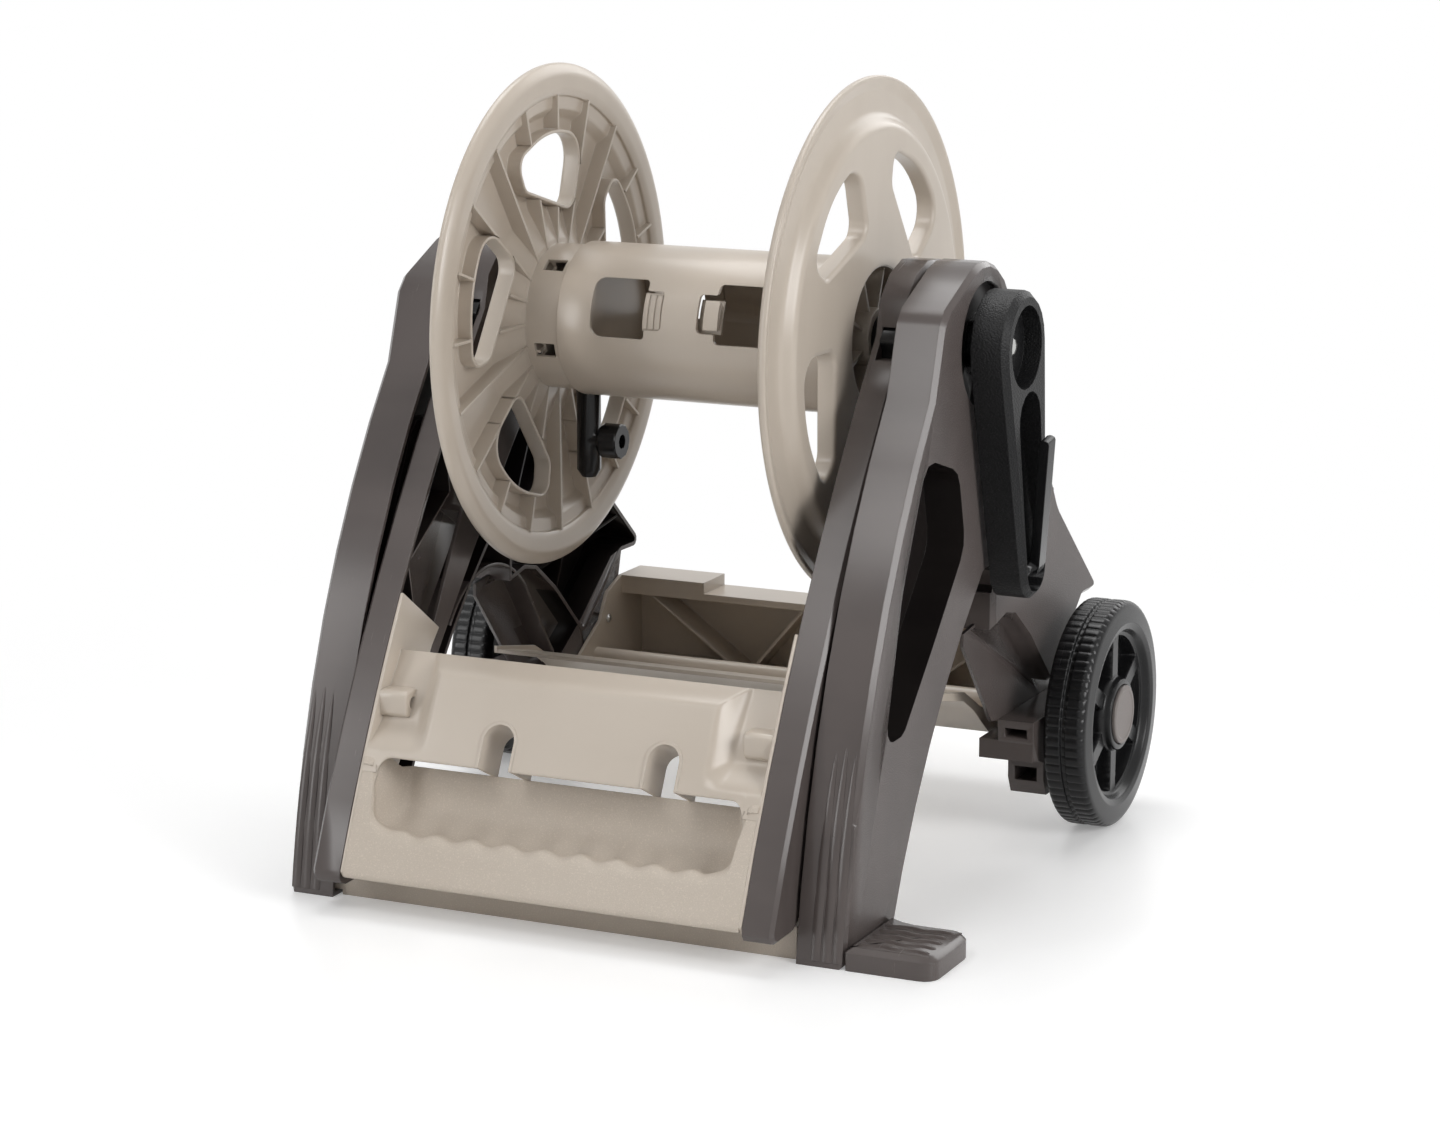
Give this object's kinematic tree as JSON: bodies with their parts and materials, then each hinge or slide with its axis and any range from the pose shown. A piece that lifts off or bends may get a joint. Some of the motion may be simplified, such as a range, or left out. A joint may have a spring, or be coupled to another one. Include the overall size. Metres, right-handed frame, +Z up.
{
  "type": "hose reel cart",
  "caption": "Two-wheeled garden hose reel cart with a cranked drum between dished flanges, curved side frames, a fold-up handle and a rear tray.",
  "frame": {"origin": "middle of the cart's base on the ground, under the centre of its bounding box", "axes": "+Z up, the folded handle and front cross bar at -Y, the wheels and tray at +Y, the crank and step foot at +X"},
  "size_m": [0.6054, 0.5884, 0.634],
  "materials": {
    "beige_plastic": "moulded polypropylene, satin",
    "taupe_plastic": "moulded polypropylene, fine grain",
    "black_plastic": "moulded plastic, satin",
    "black_rubber": "plain",
    "zinc_steel": "zinc plated"
  },
  "bodies": {
    "frame": {"frame_left": "taupe_plastic", "frame_right": "taupe_plastic", "axle_carrier_left": "taupe_plastic", "axle_carrier_right": "taupe_plastic", "step_foot": "taupe_plastic", "front_crossbar": "beige_plastic", "crossbar_screw_left": "zinc_steel", "crossbar_screw_right": "zinc_steel", "rear_tray": "beige_plastic", "tray_screw_left": "zinc_steel", "tray_screw_right": "zinc_steel", "bearing_left": "black_plastic", "bearing_right": "black_plastic", "axle": "zinc_steel", "axle_ring_left": "zinc_steel", "axle_ring_right": "zinc_steel", "inlet_elbow": "black_plastic", "inlet_seal": "black_rubber"},
    "reel": {"flange_left": "beige_plastic", "flange_right": "beige_plastic", "drum_left": "beige_plastic", "drum_right": "beige_plastic", "water_tube": "black_plastic", "outlet_coupling": "black_plastic", "crank_arm": "black_plastic", "crank_screw": "zinc_steel", "crank_nut": "zinc_steel", "crank_pin": "zinc_steel"},
    "grip": {"crank_grip": "black_plastic"},
    "handle": {"arm_left": "taupe_plastic", "arm_right": "taupe_plastic", "latch_left": "black_plastic", "latch_right": "black_plastic", "handle_grip": "beige_plastic", "handle_screw_left": "zinc_steel", "handle_screw_right": "zinc_steel"},
    "left_wheel": {"wheel_left": "black_plastic", "hub_cap_left": "taupe_plastic"},
    "right_wheel": {"wheel_right": "black_plastic", "hub_cap_right": "taupe_plastic"},
    "inlet": {"inlet_nut": "black_plastic"}
  },
  "joints": [
    {"name": "reel_spin", "type": "hinge", "parent": "frame", "child": "reel", "pos_m": [-0.00625, 0.01318, 0.429], "axis": [1, 0, 0], "continuous": true},
    {"name": "grip_fold", "type": "hinge", "parent": "reel", "child": "grip", "pos_m": [0.26025, 0.04317, 0.24898], "axis": [0, 0.9864, 0.1644], "range_deg": [-7, 82]},
    {"name": "handle_lift", "type": "hinge", "parent": "frame", "child": "handle", "pos_m": [-0.00625, 0.01318, 0.429], "axis": [-1, 0, 0], "range_deg": [0, 105]},
    {"name": "left_wheel_roll", "type": "hinge", "parent": "frame", "child": "left_wheel", "pos_m": [-0.28175, 0.19918, 0.095], "axis": [1, 0, 0], "continuous": true},
    {"name": "right_wheel_roll", "type": "hinge", "parent": "frame", "child": "right_wheel", "pos_m": [0.26925, 0.19918, 0.095], "axis": [1, 0, 0], "continuous": true},
    {"name": "inlet_nut_turn", "type": "hinge", "parent": "frame", "child": "inlet", "pos_m": [-0.26825, 0.01318, 0.364], "axis": [0, 0, 1], "continuous": true}
  ]
}
